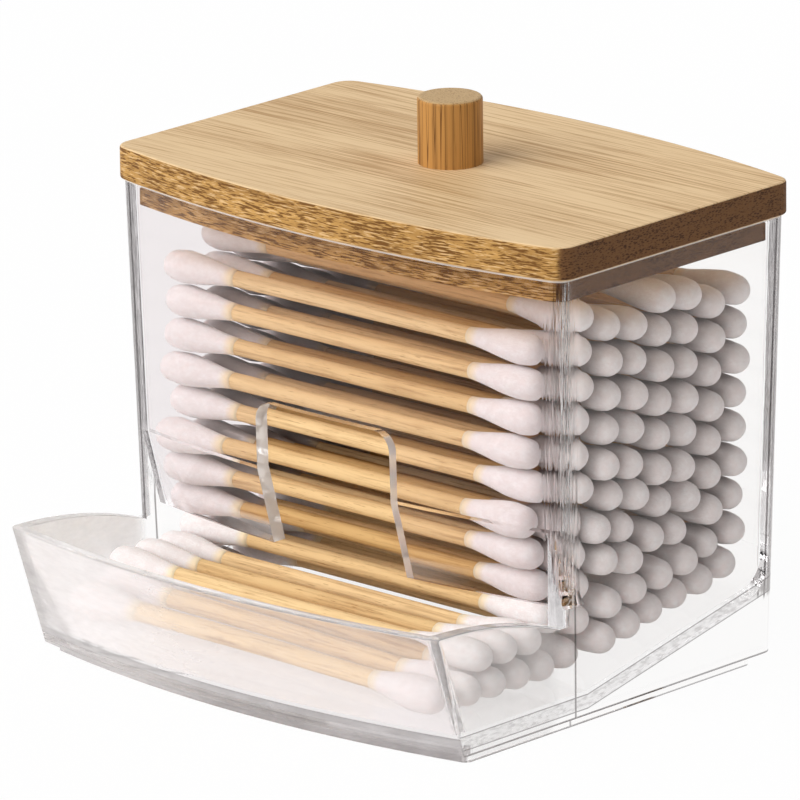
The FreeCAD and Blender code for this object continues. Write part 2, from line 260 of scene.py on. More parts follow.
def new_finish(name):
    return NodeWork(bpy.data.materials.new(name))


def give_finish(node, finish):
    """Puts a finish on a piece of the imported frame."""
    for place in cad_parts[node].material_slots:
        place.material = finish


# ---- clear moulded box ----

# In the finishes, distances and grain sizes are in millimetres.

class ClearBoxSettings(bpy.types.PropertyGroup):
    side_tint: colour_property("Side tint", "Colour of the side walls and floor", (0.995, 0.99, 0.985))
    face_tint: colour_property("Face tint", "Colour of the front wall", (0.90, 0.86, 0.87))
    # Painted shade: the wall ends, the foot below the tray's floor, the edge lines and the upright corners
    # are greyed and darkened in colour. This stands in for the shade that the clear plastic bends there.
    end_shade_tint: colour_property(
        "Wall ends", "Colour where a wall is looked into along its length", (0.40, 0.38, 0.375)
    )
    foot_shade_tint: colour_property("Foot", "Colour of the plastic below the tray's floor", (0.15, 0.13, 0.13))
    line_shade_tint: colour_property("Edge lines", "Colour of the thin dark lines along edges", (0.10, 0.09, 0.09))
    corner_shade_tint: colour_property("Corners", "Colour of the upright corners", (0.62, 0.60, 0.60))
    # Scuff colour, also used for the rim's painted highlight and the tray's painted reflection veil.
    scuff_and_highlight_tone: colour_property("Scuffs", "Colour of the scuffed plastic", (0.98, 0.96, 0.955))
    bend: FloatProperty(
        name="Refraction", description="Index of refraction of the plastic",
        default=1.49, min=1.0, max=2.0,
    )
    shine: share_property("Shine", "How strongly the plastic mirrors what is round it", 0.06)
    haze: FloatProperty(
        name="Haze", description="How much light the plastic takes out in a metre",
        default=4.0, min=0,
    )
    haze_tint: colour_property("Haze tint", "Colour that deep plastic tends to", (0.16, 0.10, 0.12))
    open_tint: colour_property("Open tint", "Colour of light let straight through", (0.985, 0.98, 0.98))
    wall: length_property("Wall", "Thickness of the box's walls", 2.4)
    face_bow: length_property("Bow", "How far the front and back bulge past the corners", 5.0)
    throat: length_property("Throat", "Height that the tray's sides stay below", 22.0)
    draft: FloatProperty(
        name="Draft", description="How far the walls lean in towards the table",
        default=math.radians(1.4), subtype="ANGLE", unit="ROTATION",
    )
    skirt: length_property("Skirt", "Height of the walls' lower edge above the table", 1.5)
    floor_top: length_property("Floor", "Height of the tray's floor", 4.75)
    floor_wall: length_property("Floor wall", "Thickness of the floor and ramp", 2.3)
    ramp_rise: length_property("Ramp rise", "Height that the ramp gains up to the back wall", 8.2)
    ramp: FloatProperty(
        name="Ramp", description="Slope of the ramp",
        default=math.radians(12.1), subtype="ANGLE", unit="ROTATION",
    )
    ripple: length_property("Ripple", "Depth of the waves left by moulding", 0.012)
    draw_lines: length_property("Draw lines", "Depth of the upright lines by the corners", 0.2)
    wipe_marks: share_property("Wipe marks", "Roughness of the marks left by wiping", 0.03)
    # Partly scuffs, partly a painted white reflection veil over the tray.
    tray_scuffs_and_veil: share_property("Tray scuffs", "How milky use has made the tray", 0.17)
    under_light: share_property("Light underneath", "How much light the underside lets straight in", 0.8)
    notch_light: share_property("Light at the notch", "How much light the notch's sides let in", 0.25)
    notch_frost: share_property("Notch frost", "How frosted the notch's sides are", 0.8)
    # Painted highlight: a pale frosted band along the rim's rounded edge.
    rim_highlight_frost: share_property("Rim frost", "How frosted the ground rim is", 0.7)


# A surface counts as facing along an axis between these shares of it.
FACING_EDGE = (0.6, 0.7)


class BoxSpot:
    """Where a point of the box lies: which way it faces, and how far it is from each wall and the ramp."""

    def __init__(self, work, settings):
        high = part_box("box_shell")[1] / MILLIMETRE
        draft = math.tan(settings.draft)
        bow = settings.face_bow / MILLIMETRE
        self.rim = high.z
        self.wall = settings.wall / MILLIMETRE
        self.throat = settings.throat / MILLIMETRE
        self.skirt = settings.skirt / MILLIMETRE
        self.floor_top = settings.floor_top / MILLIMETRE
        self.floor_wall = settings.floor_wall / MILLIMETRE
        self.place = work.place()
        self.x = work.node("SeparateXYZ", values={0: self.place})
        self.y = self.x.also("Y")
        self.z = self.x.also("Z")

        # From the outside of each upright wall, along the table.
        leaning = draft * (high.z - self.z)
        back_corner = high.y - bow
        front_corner = 2 * middle_y() - back_corner
        self.from_left = high.x - leaning + self.x
        self.from_side = high.x - leaning - abs(self.x)
        self.from_back = back_corner - leaning - self.y
        self.from_front = self.y - leaning - front_corner

        # Down from the top of the floor, and of the ramp that runs forward from the bowed back wall.
        bowed = bow * (self.x / high.x) * (self.x / high.x)
        behind_ramp = draft * (high.z - self.floor_top) + self.wall
        ramp_top = work.larger(
            self.floor_top,
            self.floor_top + settings.ramp_rise / MILLIMETRE
            - math.tan(settings.ramp) * (high.y - behind_ramp - bowed - self.y))
        self.below_ramp = ramp_top - self.z

        self.facing_x = work.facing()
        self.facing_y = self.facing_x.also("Y")
        self.facing_z = self.facing_x.also("Z")
        self.on_side = work.spread(abs(self.facing_x), *FACING_EDGE)
        self.on_face = work.spread(abs(self.facing_y), *FACING_EDGE)
        self.on_front = self.on_face * work.spread(self.y, middle_y(), middle_y() - 1)
        self.below_throat = work.spread(self.z, self.throat, self.throat - 1)


def wall_tint_and_shade(work, settings, spot, lines):
    """The walls' colour with painted shade: grey upright corners, and a grey band and a dark line where a
    wall is looked into along its length.
    """
    # Painted shade at the upright corners.
    corner = work.spread(abs(spot.facing_x * spot.facing_y), 0.2, 0.4) * work.spread(lines, 0.45, 0.6)
    tint = work.blended(spot.on_front, settings.side_tint, settings.face_tint)
    tint = work.blended(corner, tint, settings.corner_shade_tint)
    above_ramp = work.spread(spot.below_ramp, spot.floor_wall + 1, spot.floor_wall)
    left_end = (spot.from_left / spot.wall, spot.on_face)
    back_end = (spot.from_back / spot.wall, spot.on_side * above_ramp)
    # Painted shade: a grey band and a dark line across the ends of the left and back walls.
    for depth, seen_on in (left_end, back_end):
        grey = seen_on * work.spread(depth, 0.66, 0.6) * (0.85 + 0.3 * lines)
        dark = seen_on * work.spread(depth, 0.76, 0.8) * work.spread(depth, 0.98, 0.94)
        tint = work.blended(grey, tint, settings.end_shade_tint)
        tint = work.blended(dark, tint, settings.line_shade_tint)
    return tint


def painted_floor_shade(work, settings, spot, tint):
    """Adds painted shade: the ramp's ends hatched in grey, the dark blotched foot below the tray's floor and
    the dark wedge at the tray's left.
    """
    blotches = work.clouds(work.stretched(spot.place, (5, 5, 3), (8.0, 1.0, 2.0)), detail=2.0)
    hatches = work.clouds(work.stretched(spot.place, (2, 1.6, 0.5), (1.0, 3.0, 6.0)))
    half = spot.floor_wall / 2
    off_middle = spot.below_ramp - half
    ramp_end_shade = spot.on_side * work.line(off_middle, half - 0.05, half + 0.05)
    ramp_shade_line = ramp_end_shade * work.spread(abs(off_middle), half - 0.25, half - 0.1)
    tint = work.blended(ramp_end_shade * (0.3 + 0.6 * work.spread(hatches, 0.4, 0.7)), tint, settings.end_shade_tint)
    # Painted shade: dark blotches on the foot and on the wedge at the tray's left.
    foot = spot.on_front * work.spread(spot.z, spot.floor_top - 0.5, spot.floor_top - 0.7)
    tint = work.blended(foot * (0.6 + 0.6 * blotches), tint, settings.foot_shade_tint)
    wedge_edge = spot.from_left - 0.5 * (spot.throat - spot.z)
    wedge = spot.on_front * spot.below_throat * work.spread(wedge_edge, 0.3, -0.3)
    tint = work.blended(wedge * work.spread(blotches, 0.3, 0.6, 0.2, 0.7), tint, settings.foot_shade_tint)
    return tint, ramp_shade_line


def painted_edge_lines(work, spot, ramp_shade_line):
    """Painted shade: the thin dark lines along the ramp, the skirt, the foot and the joint of tray and box.
    """
    skirt_line = work.line(spot.z - spot.skirt - 0.1, 0.12, 0.25)
    rail_line = work.line(spot.z, 0.15, 0.3)
    foot_line = spot.on_front * work.line(spot.z - spot.floor_top + 0.5, 0.1, 0.22)
    joint_line = spot.on_side * spot.below_throat * work.line(spot.from_front - spot.wall, 0.12, 0.25)
    outer = work.larger(work.spread(spot.from_side, 1.3, 1.0), spot.on_front)
    return 0.95 * outer * work.larger(
        ramp_shade_line, spot.on_side * work.larger(skirt_line, rail_line), foot_line, joint_line)


def moulding_relief(work, settings, spot, lines):
    """Moulding waves, and the upright draw lines by the corners."""
    waves = work.clouds(work.stretched(spot.place, (14, 14, 20)), detail=1.0)
    above_throat = work.spread(spot.z, spot.throat - 3, spot.throat)
    by_corner = above_throat * work.spread(spot.from_side, 4.0, 1.5) * work.larger(
        work.line(spot.from_front, 1.5, 4.0), work.spread(spot.from_back, 4.0, 1.5))
    relief = work.relief(lines * by_corner, settings.draw_lines / MILLIMETRE)
    return work.relief(waves, settings.ripple / MILLIMETRE, under=relief)


def notch_sides(work, spot):
    """1 on the sides of the finger notch, which lie well inside the side walls."""
    return (
        spot.on_side * work.spread(spot.from_side, 25, 27) * work.line(spot.from_front, 8, 9)
        * work.spread(spot.z, spot.throat - 5, spot.throat - 4)
    )


def frosted_share(work, settings, spot):
    """How much of the surface scatters light. This covers the scuffed tray, milky partly from wear and partly
    as a painted reflection veil; the rim, frosted pale as a painted highlight; and the notch's sides.
    """
    in_tray = work.spread(spot.from_front, -0.5, -2.5) * spot.below_throat
    scratches = work.clouds(work.stretched(spot.place, (6, 2.5, 1.2), (9.0, 2.0, 4.0)), detail=4.0)
    more_at_left = work.spread(spot.x, 5, -30, 1.0, 2.0)
    # Milky tray: scuffs, and a painted white reflection veil.
    milky = settings.tray_scuffs_and_veil * in_tray * (0.6 + 0.8 * scratches) * more_at_left
    # Painted highlight along the rim.
    ground = settings.rim_highlight_frost * work.spread(spot.z, spot.rim - 0.45, spot.rim - 0.3)
    return work.larger(milky, ground, settings.notch_frost * notch_sides(work, spot))


def open_share(work, settings, spot):
    """Where light goes straight through: lamp and scattered light, and some light from below."""
    path = work.node("LightPath", result="Is Shadow Ray")
    under_floor = work.spread(spot.below_ramp, spot.floor_wall - 0.9, spot.floor_wall - 0.6)
    underneath = (
        settings.under_light * work.spread(abs(spot.facing_z), 0.15, 0.4)
        * under_floor * work.spread(spot.z, 1.7, 2.2)
    )
    notch = settings.notch_light * notch_sides(work, spot)
    return work.larger(path, path.also("Is Diffuse Ray"), underneath, notch)


def clear_plastic_finish(settings):
    work = new_finish("clear moulded plastic")
    spot = BoxSpot(work, settings)
    lines = work.clouds(work.stretched(spot.place, (0.4, 0.4, 30), (2.0, 6.0, 1.0)), detail=2.0)
    # The walls' own tint, with painted shade laid over it: the wall ends, corners, floor bands and edge
    # lines.
    tint = wall_tint_and_shade(work, settings, spot, lines)
    tint, ramp_shade_line = painted_floor_shade(work, settings, spot, tint)
    tint = work.blended(painted_edge_lines(work, spot, ramp_shade_line), tint, settings.line_shade_tint)
    wiping = work.clouds(work.stretched(spot.place, (9, 9, 3), (3.1, 0.4, 7.7)), detail=4.0)
    plastic = work.shader({
        "Base Color": tint,
        "Transmission Weight": 1.0,
        "IOR": settings.bend,
        "Specular Tint": opaque(3 * [settings.shine]),
        "Roughness": settings.wipe_marks * work.spread(wiping, 0.5, 0.8),
        "Normal": moulding_relief(work, settings, spot, lines),
    })
    # Pale scattering plastic: scuffs, the rim's painted highlight and the tray's painted reflection veil.
    scuffed = work.shader({
        "Base Color": opaque(settings.scuff_and_highlight_tone), "Roughness": 0.7, "Specular IOR Level": 0.2,
    })
    surface = work.node("MixShader", values={
        0: frosted_share(work, settings, spot), 1: plastic, 2: scuffed,
    })
    open_way = work.node("BsdfTransparent", values={"Color": opaque(settings.open_tint)})
    surface = work.node("MixShader", values={0: open_share(work, settings, spot), 1: surface, 2: open_way})
    haze = work.node("VolumeAbsorption", values={
        "Color": opaque(settings.haze_tint), "Density": settings.haze,
    })
    return work.finished(surface, haze)


def middle_y():
    """Middle of the box from front to back, without its tray, in millimetres."""
    knob_low, knob_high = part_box("lid_knob")
    return (knob_low.y + knob_high.y) / 2 / MILLIMETRE


class SWABBOX_OT_clear_box(bpy.types.Operator):
    """Finish the clear moulded box with its tray, ramp and foot rails"""

    bl_idname = "swab_box.clear_box"
    bl_label = "Clear Box"

    def execute(self, context):
        give_finish("box_shell", clear_plastic_finish(context.scene.swab_box_clear))
        return {"FINISHED"}


# ---- bamboo lid ----

class LidSettings(bpy.types.PropertyGroup):
    face_tone: colour_property("Face", "Colour of the sanded top", tone(236, 204, 158))
    face_dark: colour_property("Face streaks", "Colour of the top's dark streaks", tone(186, 146, 98))
    edge_tone: colour_property("Edge", "Colour of the long edges", tone(196, 150, 84))
    edge_dark: colour_property("Edge fibres", "Colour of the fibres in the long edges", tone(106, 66, 22))
    end_tone: colour_property("End grain", "Colour of the sawn ends", tone(116, 80, 48))
    end_dark: colour_property("End fibres", "Colour of the fibre bundles in the ends", tone(66, 40, 20))
    strip_width: length_property("Strip width", "Width of the glued bamboo strips", 7.0)
    fibre_relief: length_property("Fibre relief", "Depth of the open grain", 0.05)


def bamboo_finish(settings):
    work = new_finish("bamboo board")
    place = work.place()
    facing = work.facing()
    end_facing = abs(facing)
    top_facing = abs(facing.also("Z"))

    # Glued strips: each has its own tone, and a thin dark joint beside it.
    strip_mm = settings.strip_width / MILLIMETRE
    across = work.node("SeparateXYZ", values={0: place}, result="Y")
    wander = work.clouds(work.stretched(place, (60, 60, 60)), detail=0.0)
    strip = across / strip_mm + wander * 0.12
    strip_number = work.maths("FLOOR", strip)
    strip_tone = work.node("TexWhiteNoise", {"noise_dimensions": "1D"}, {"W": strip_number})
    joint = 1 - work.spread(abs(strip - work.maths("ROUND", strip)), 0.012, 0.035)

    # Sanded top: long fine streaks, short open pores and slow drifts of tone.
    streaks = work.clouds(work.stretched(place, (22, 0.55, 0.9)), detail=5.0, roughness=0.6)
    fine = work.clouds(work.stretched(place, (5, 0.16, 0.3), (4.0, 9.0, 2.0)), detail=3.0)
    drift = work.clouds(work.stretched(place, (45, 9, 20), (1.0, 5.0, 8.0)), detail=2.0)
    pores = work.spread(fine, 0.62, 0.72)
    dark_share = (
        work.spread(streaks, 0.38, 0.72, 0.0, 0.75)
        + 0.35 * work.spread(drift, 0.35, 0.7)
        + 0.25 * strip_tone * (1 - 0.3 * streaks)
        + 0.35 * pores
        + 0.6 * joint * strip_tone
    )
    face = work.blended(work.spread(dark_share, 0.15, 1.2), settings.face_tone, settings.face_dark)

    # Long edges: wavy fibre dashes in stacks, dark with a pale side.
    dashes = work.clouds(work.stretched(place, (2.4, 1.2, 0.22)), detail=2.0, distortion=0.35)
    stacks = work.clouds(work.stretched(place, (5.0, 5.0, 6.0), (7.0, 2.0, 1.0)), detail=1.0)
    edge_drift = work.clouds(work.stretched(place, (11, 11, 1.6), (2.0, 2.0, 5.0)), detail=3.0)
    dash_dark = work.spread(dashes + 0.25 * (stacks - 0.5), 0.53, 0.58)
    dash_pale = work.spread(dashes, 0.44, 0.34)
    edge = work.blended(work.spread(edge_drift, 0.3, 0.75, 0.0, 0.5),
                        settings.edge_tone, settings.edge_dark)
    edge = work.blended(0.9 * dash_dark, edge, settings.edge_dark)
    edge = work.blended(0.5 * dash_pale, edge, settings.face_tone)

    # Sawn ends: packed bundles of fibres.
    bundles = work.grains(work.stretched(place, (0.4, 0.6, 0.22)))
    end_drift = work.clouds(work.stretched(place, (2, 5.0, 0.8)), detail=4.0)
    bundle_share = 1 - work.spread(bundles + 0.9 * (end_drift - 0.5), 0.1, 0.6)
    end = work.blended(bundle_share, settings.end_tone, settings.end_dark)

    end_share = work.spread(end_facing + 0.1 * (fine - 0.5), 0.55, 0.8)
    top_share = work.spread(top_facing + 0.25 * (dashes - 0.5), 0.5, 0.75)
    colour = work.blended(end_share, edge, end)
    colour = work.blended(top_share, colour, face)

    height = (
        0.5 * fine + 0.4 * streaks
        - 0.5 * pores * top_share
        - 0.9 * dash_dark * (1 - top_share)
        - 0.5 * joint
    )
    surface = work.shader({
        "Base Color": colour,
        "Roughness": 0.46 + 0.2 * streaks + 0.1 * end_share,
        "Specular IOR Level": 0.18,
        "Normal": work.relief(height, settings.fibre_relief / MILLIMETRE, 0.8),
    })
    return work.finished(surface)


class SWABBOX_OT_lid_board(bpy.types.Operator):
    """Finish the bamboo lid board and the plug under it"""

    bl_idname = "swab_box.lid_board"
    bl_label = "Lid Board"

    def execute(self, context):
        give_finish("lid_board", bamboo_finish(context.scene.swab_box_lid))
        return {"FINISHED"}


# ---- turned knob ----

class KnobSettings(bpy.types.PropertyGroup):
    side_tone: colour_property("Side", "Colour of the knob's side", tone(192, 140, 76))
    line_tone: colour_property("Lines", "Colour of the dark upright lines", tone(80, 44, 14))
    top_tone: colour_property("Top", "Colour of the knob's end grain", tone(198, 166, 120))
    top_dark: colour_property("Top fibres", "Colour of the fibres in the end grain", tone(150, 110, 66))
    fibre_relief: length_property("Fibre relief", "Depth of the open grain", 0.06)


def knob_finish(settings):
    work = new_finish("turned bamboo")
    place = work.place()
    up = abs(work.facing().also("Z"))

    broad = work.clouds(work.stretched(place, (1.3, 1.3, 60)), detail=1.0)
    fine = work.clouds(work.stretched(place, (0.3, 0.3, 9)), detail=4.0, roughness=0.6)
    splits = work.clouds(work.stretched(place, (0.75, 0.75, 30), (3.0, 8.0, 1.0)), detail=1.0)
    line = 1 - work.spread(abs(splits - 0.5), 0.008, 0.035)
    side_dark = 0.6 * work.spread(broad, 0.42, 0.68) + 0.45 * work.spread(fine, 0.5, 0.75)
    side = work.blended(work.spread(side_dark, 0.0, 1.3), settings.side_tone, settings.line_tone)
    side = work.blended(0.75 * line, side, settings.line_tone)

    bundles = work.grains(work.stretched(place, (0.38, 0.30, 5.0)))
    rings = work.clouds(work.stretched(place, (3.0, 0.8, 9.0)), detail=3.0)
    top_dark = 1 - work.spread(bundles + 0.6 * (rings - 0.5), 0.1, 0.5)
    top = work.blended(0.75 * top_dark, settings.top_tone, settings.top_dark)

    colour = work.blended(work.spread(up, 0.55, 0.8), side, top)
    surface = work.shader({
        "Base Color": colour,
        "Roughness": 0.45 + 0.2 * fine,
        "Specular IOR Level": 0.2,
        "Normal": work.relief(0.5 * fine - 0.8 * line * (1 - up) - 0.3 * top_dark * up,
                              settings.fibre_relief / MILLIMETRE, 0.8),
    })
    return work.finished(surface)


class SWABBOX_OT_lid_knob(bpy.types.Operator):
    """Finish the turned knob on the lid"""

    bl_idname = "swab_box.lid_knob"
    bl_label = "Lid Knob"

    def execute(self, context):
        give_finish("lid_knob", knob_finish(context.scene.swab_box_knob))
        return {"FINISHED"}


# ---- swab sticks ----

class StickSettings(bpy.types.PropertyGroup):
    pale_tone: colour_property("Pale wood", "Colour of the palest sticks", tone(240, 208, 158))
    warm_tone: colour_property("Warm wood", "Colour of the pinkish sticks", tone(234, 188, 134))
    dull_tone: colour_property("Dull wood", "Colour of the dullest sticks", tone(202, 160, 98))
    grain_tone: colour_property("Grain", "Colour of the grain lines", tone(146, 94, 44))
    fibre_relief: length_property("Fibre relief", "Depth of the grain", 0.04)


def stick_finish(settings):
    work = new_finish("swab stick wood")
    place = work.place()
    each = work.node("NewGeometry", result="Random Per Island")
    apart = work.node("CombineXYZ", values={0: each * 40.0, 1: each * 17.0, 2: each * 29.0})

    def along(sizes):
        grained = work.stretched(place, sizes)
        return work.node("VectorMath", {"operation": "ADD"}, {0: grained, 1: apart})

    streaks = work.clouds(along((16, 0.5, 0.5)), detail=4.0, roughness=0.6)
    dashes = work.clouds(along((2.4, 0.16, 0.16)), detail=2.0)
    patches = work.clouds(along((12, 3, 3)), detail=2.0)
    kind = work.node("ValToRGB", {"stops": [
        (0.0, settings.dull_tone), (0.35, settings.pale_tone),
        (0.7, settings.pale_tone), (1.0, settings.warm_tone),
    ]}, {0: each})
    dark = (
        0.55 * work.spread(streaks, 0.45, 0.75)
        + 0.5 * work.spread(dashes, 0.6, 0.74)
        + 0.25 * work.spread(patches, 0.5, 0.8)
    )
    colour = work.blended(work.maths("MINIMUM", dark, 0.85), kind, settings.grain_tone)
    surface = work.shader({
        "Base Color": colour,
        "Roughness": 0.55 + 0.2 * streaks,
        "Specular IOR Level": 0.06,
        "Normal": work.relief(0.5 * streaks - 0.6 * dashes, settings.fibre_relief / MILLIMETRE, 0.7),
    })
    return work.finished(surface)


class SWABBOX_OT_swab_sticks(bpy.types.Operator):
    """Finish the wooden sticks of every row of swabs"""

    bl_idname = "swab_box.swab_sticks"
    bl_label = "Swab Sticks"

    def execute(self, context):
        finish = stick_finish(context.scene.swab_box_sticks)
        for row in SWAB_ROWS:
            give_finish("swab_sticks_row_" + row, finish)
        return {"FINISHED"}


# ---- wound cotton heads ----

# What each point of the cotton carries: how fully it covers the stick, and how much painted shade it takes
# for lying in a nook between heads.
COVER = "cotton_cover"
NOOK_SHADE = "cotton_nook"

THIN_STRETCH = 3.0 * MILLIMETRE    # the last stretch of cotton, where the stick shows through
# Painted shade between heads: how far it reaches, which heads get none, and where it deepens into a warm
# shade within the stack.
NOOK_SHADE_REACH = 2.0 * MILLIMETRE      # how far a head's nook reaches from its neighbour
LOWEST_NOOK_SHADE = 16.0 * MILLIMETRE    # heads below this lie in the open tray
DEEP_SHADE_FROM = 1.6                    # cotton is deep in the stack from here, in nook depths
DEEP_SHADE_GAIN = 1.4                    # how fast it deepens behind that
FIBRE = 0.016 * MILLIMETRE         # half the width of a loose fibre
SPOKES = 26                        # points round each ring of cotton
TIP_RINGS = 8
TIP_TURN = math.radians(80)        # how far the round tip turns before the body starts
BODY_RINGS = 5
NECK_RINGS = 12


class CottonSettings(bpy.types.PropertyGroup):
    cotton_tone: colour_property("Cotton", "Colour of the wound cotton", tone(243, 238, 237))
    shade_tone: colour_property("Hollows", "Colour in the hollows between fibres", tone(232, 223, 221))
    thin_tone: colour_property("Thin cotton", "Colour where the stick shows through", tone(240, 220, 186))
    # Painted shade: grey where heads lie close together, and warm brown deep in the stack, where little light
    # reaches.
    nook_shade_tone: colour_property("Nooks", "Colour between heads that lie close together", tone(140, 124, 119))
    left_nook_shade: share_property("Left nooks", "How dark the left nooks are, as a share of the right", 0.5)
    deep_shade_tone: colour_property("Deep nooks", "Colour of cotton deep in the stack", tone(216, 164, 110))
    nook_shade_depth: length_property("Nook depth", "How far behind the tips the nooks are darkest", 3.4)
    stick_width: length_property("Stick width", "Diameter of the stick that the cotton is wound on", 2.5)
    tip_share: share_property("Tip", "Radius of a head's round tip, as a share of its widest radius", 0.92)
    neck_length: length_property("Neck length", "Taper from the stick up to the full head", 10.4)
    lump_depth: length_property("Lumps", "Depth of the lumps in a wound head", 0.16)
    ragged_edge: length_property("Ragged edge", "How unevenly the cotton ends on the stick", 0.5)
    fibre_relief: length_property("Fibre relief", "Depth of the matted fibres", 0.035)
    wisps: IntProperty(
        name="Wisps", description="Loose fibres standing off each head", default=26, min=0, max=80
    )


def cotton_finish(settings):
    work = new_finish("wound cotton")
    place = work.place()
    matted = work.clouds(work.stretched(place, (0.5, 0.28, 0.28)), detail=5.0, roughness=0.7, distortion=1.2)
    fluff = work.clouds(work.stretched(place, (1.6, 1.1, 1.1), (5.0, 1.0, 3.0)), detail=3.0)
    strands = work.clouds(work.stretched(place, (0.9, 0.12, 0.12)), detail=2.0, distortion=2.0)
    hollow = work.spread(0.5 * matted + 0.3 * fluff + 0.2 * strands, 0.42, 0.62)
    colour = work.blended(hollow, settings.shade_tone, settings.cotton_tone)
    cover = work.node("Attribute", {"attribute_name": COVER}, result="Fac")
    colour = work.blended(work.spread(cover + 0.5 * (matted - 0.5), 0.15, 0.85),
                          settings.thin_tone, colour)
    # Painted shade: grey in the nooks between heads, going over to warm brown deep in the stack.
    nook = work.node("Attribute", {"attribute_name": NOOK_SHADE}, result="Fac")
    colour = work.blended(0.85 * work.maths("MINIMUM", nook, 1.0), colour, settings.nook_shade_tone)
    colour = work.blended(work.spread(nook, 1.0, 1.6), colour, settings.deep_shade_tone)
    surface = work.shader({
        "Base Color": colour,
        "Roughness": 0.85 + 0.15 * matted,
        "Specular IOR Level": 0.05,
        "Subsurface Weight": 0.35,
        "Subsurface Radius": (1.0, 0.75, 0.7),
        "Subsurface Scale": 0.0012,
        "Sheen Weight": 0.25,
        "Sheen Roughness": 0.5,
        "Normal": work.relief(0.6 * matted + 0.4 * strands, settings.fibre_relief / MILLIMETRE, 0.8),
    })
    return work.finished(surface)


def swab_ends(node):
    """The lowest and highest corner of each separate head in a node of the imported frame."""
    shape = bmesh.new()
    shape.from_mesh(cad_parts[node].data)
    bmesh.ops.remove_doubles(shape, verts=shape.verts, dist=1e-7)
    ends = []
    waiting = set(shape.verts)
    while waiting:
        group = [waiting.pop()]
        for vertex in group:
            for edge in vertex.link_edges:
                other = edge.other_vert(vertex)
                if other in waiting:
                    waiting.remove(other)
                    group.append(other)
        low = Vector(tuple(min(vertex.co[axis] for vertex in group) for axis in range(3)))
        high = Vector(tuple(max(vertex.co[axis] for vertex in group) for axis in range(3)))
        ends.append((low, high))
    shape.free()
    return sorted(ends, key=lambda corners: (round(corners[0].y, 6), round(corners[0].z, 6)))


def head_rings(settings, length, radius, chance):
    """Distance from the tip and radius of each ring of cotton, from the tip to the stick."""
    core = settings.stick_width / 2
    neck_start = length - settings.neck_length * chance.uniform(0.9, 1.05)
    end = length - chance.uniform(0.0, 1.1) * MILLIMETRE
    rings = []
    tip_radius = settings.tip_share * radius
    for step in range(1, TIP_RINGS + 1):
        turn = TIP_TURN * step / TIP_RINGS
        rings.append((tip_radius * (1 - math.cos(turn)), tip_radius * math.sin(turn)))
    tip_length, narrow = rings[-1]
    for step in range(1, BODY_RINGS + 1):
        share = step / BODY_RINGS
        swell = math.sin(math.pi / 2 * share)
        rings.append((tip_length + (neck_start - tip_length) * share, narrow + (radius - narrow) * swell))
    for step in range(1, NECK_RINGS + 1):
        share = step / NECK_RINGS
        fall = 0.45 * share + 0.55 * (0.5 - 0.5 * math.cos(math.pi * share))
        rings.append((neck_start + (end - neck_start) * share, radius + (core * 1.04 - radius) * fall))
    return rings


def head_tip(corners, tip_side):
    """The middle of the end that a head's tip touches."""
    low, high = corners
    return Vector((high.x if tip_side > 0 else low.x, (low.y + high.y) / 2, (low.z + high.z) / 2))


def crowded_by(tip, tips, width):
    """The tips of the heads round this one, or none if it lies in the tray or the front column."""
    if tip.z < LOWEST_NOOK_SHADE:
        return []
    near = [other for other in tips
            if other != tip and math.hypot(other.y - tip.y, other.z - tip.z) < 1.6 * width]
    in_front = [other for other in near
                if other.y < tip.y - 0.4 * width and other.z > tip.z + 0.2 * width]
    return near if in_front else []


# One head while it is wound. rings are distances from the tip with radii, near is the tips round it.
Head = namedtuple("Head", "tip tip_side radius rings offset near")


def nook_shade_share(settings, at, head):
    """How much painted shade a point gets for lying between the heads that are near: 1 between the tips, 2
    deep in the stack.
    """
    share = 0.0
    for other in head.near:
        depth = head.tip_side * (other.x - at.x) / settings.nook_shade_depth
        gap = math.hypot(at.y - other.y, at.z - other.z) - head.radius
        close = min(1.0, max(0.0, 1 - gap / NOOK_SHADE_REACH))
        deep = min(1.0, DEEP_SHADE_GAIN * max(0.0, depth - DEEP_SHADE_FROM)) if close > 0.1 else 0.0
        share = max(share, min(1.0, max(0.0, depth)) * close + deep)
    return share if head.tip_side > 0 else settings.left_nook_shade * share


def outward_at(spoke):
    """The way that a spoke of a ring points, out from the stick."""
    turn = 2 * math.pi * spoke / SPOKES
    return Vector((0, math.cos(turn), math.sin(turn)))


def wind_ring(shape, settings, head, distance, ring_radius):
    """One ring of cotton, sunk and ragged by its lumps, at a distance from the head's tip."""
    core = settings.stick_width / 2
    swell = min(1.0, max(0.0, (ring_radius - core) / (head.radius - core)))
    neck_start = head.rings[TIP_RINGS + BODY_RINGS - 1][0]
    end = head.rings[-1][0]
    ring = []
    for spoke in range(SPOKES):
        outward = outward_at(spoke)
        point = Vector((distance, 0, 0)) + outward * ring_radius
        lumps = 0.5 + 0.5 * noise.noise(point / (2.6 * MILLIMETRE) + head.offset)
        tufts = 0.5 + 0.5 * noise.noise(point / (0.9 * MILLIMETRE) - head.offset)
        sunk = settings.lump_depth * (0.7 * lumps + 0.3 * tufts) * (0.25 + 0.75 * swell)
        ragged = 0.0
        if distance > neck_start:
            share = (distance - neck_start) / (end - neck_start)
            ragged = settings.ragged_edge * (lumps - 1) * share * share
        at = head.tip + outward * max(ring_radius - sunk, min(ring_radius, core * 1.01))
        at.x = head.tip.x - head.tip_side * (distance + sunk * 0.3 + ragged)
        vertex = shape.verts.new(at)
        vertex[shape.verts.layers.float[COVER]] = min(1.0, (end - distance) / THIN_STRETCH)
        vertex[shape.verts.layers.float[NOOK_SHADE]] = nook_shade_share(settings, at, head)
        ring.append(vertex)
    return ring


